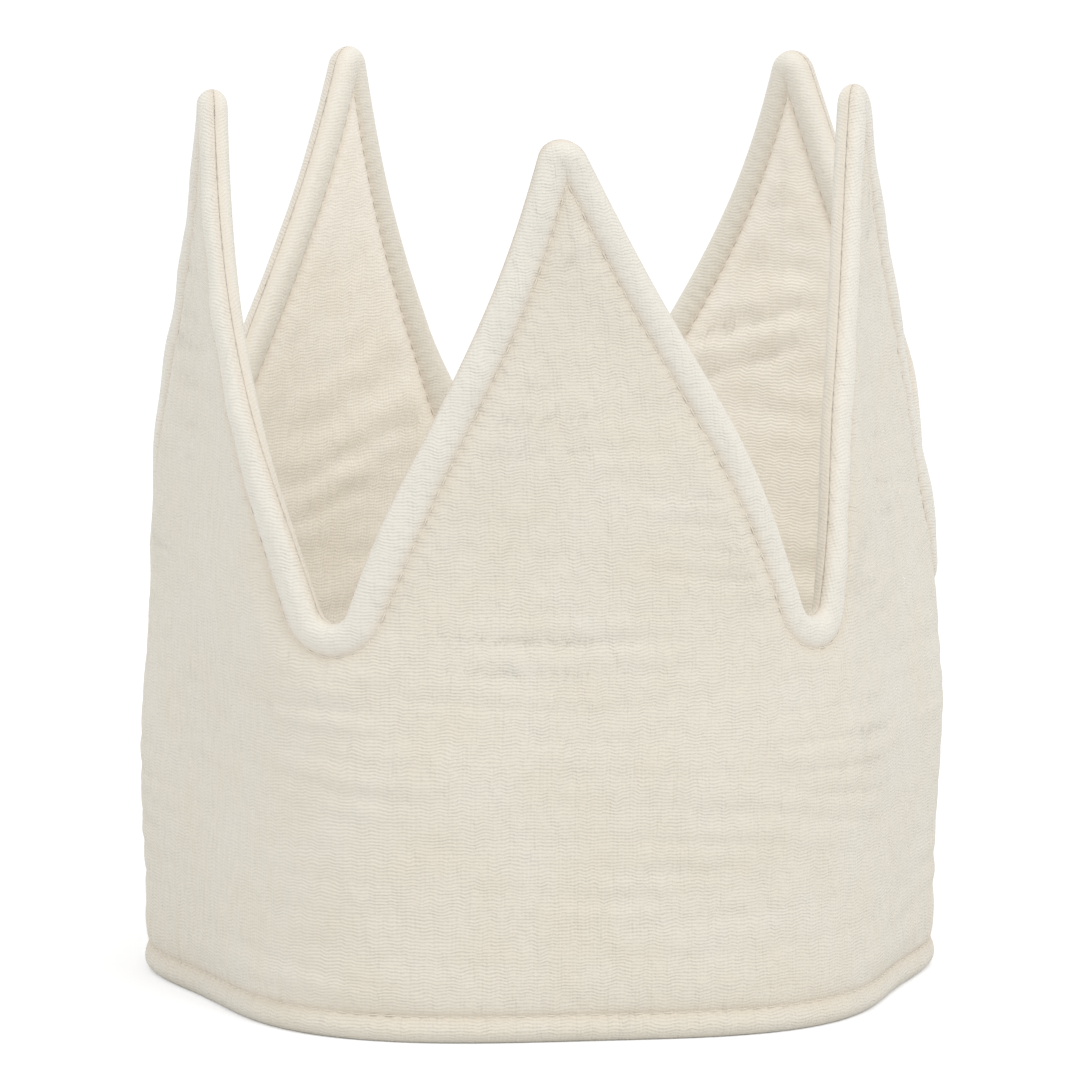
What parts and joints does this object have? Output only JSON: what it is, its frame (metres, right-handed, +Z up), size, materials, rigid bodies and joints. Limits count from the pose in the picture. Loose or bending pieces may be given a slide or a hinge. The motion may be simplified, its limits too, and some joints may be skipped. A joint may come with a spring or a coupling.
{
  "type": "padded cotton muslin crown",
  "caption": "Soft dress-up crown of padded cream muslin: a plain band with tall narrow points, turned and topstitched edges, standing on its hem.",
  "frame": {"origin": "middle of the outer panel's footprint, at the height of the hem that it stands on", "axes": "+Z up along the points, -Y towards the front point's side, +X to the right seen from the front"},
  "size_m": [0.1592, 0.1768, 0.1805],
  "materials": {
    "outer_muslin": "matte woven gauze",
    "lining_muslin": "matte woven gauze",
    "padding": "matte soft wadding"
  },
  "bodies": {
    "root": {"outer_panel": "outer_muslin", "lining_panel": "lining_muslin", "interlining": "padding"}
  },
  "joints": []
}
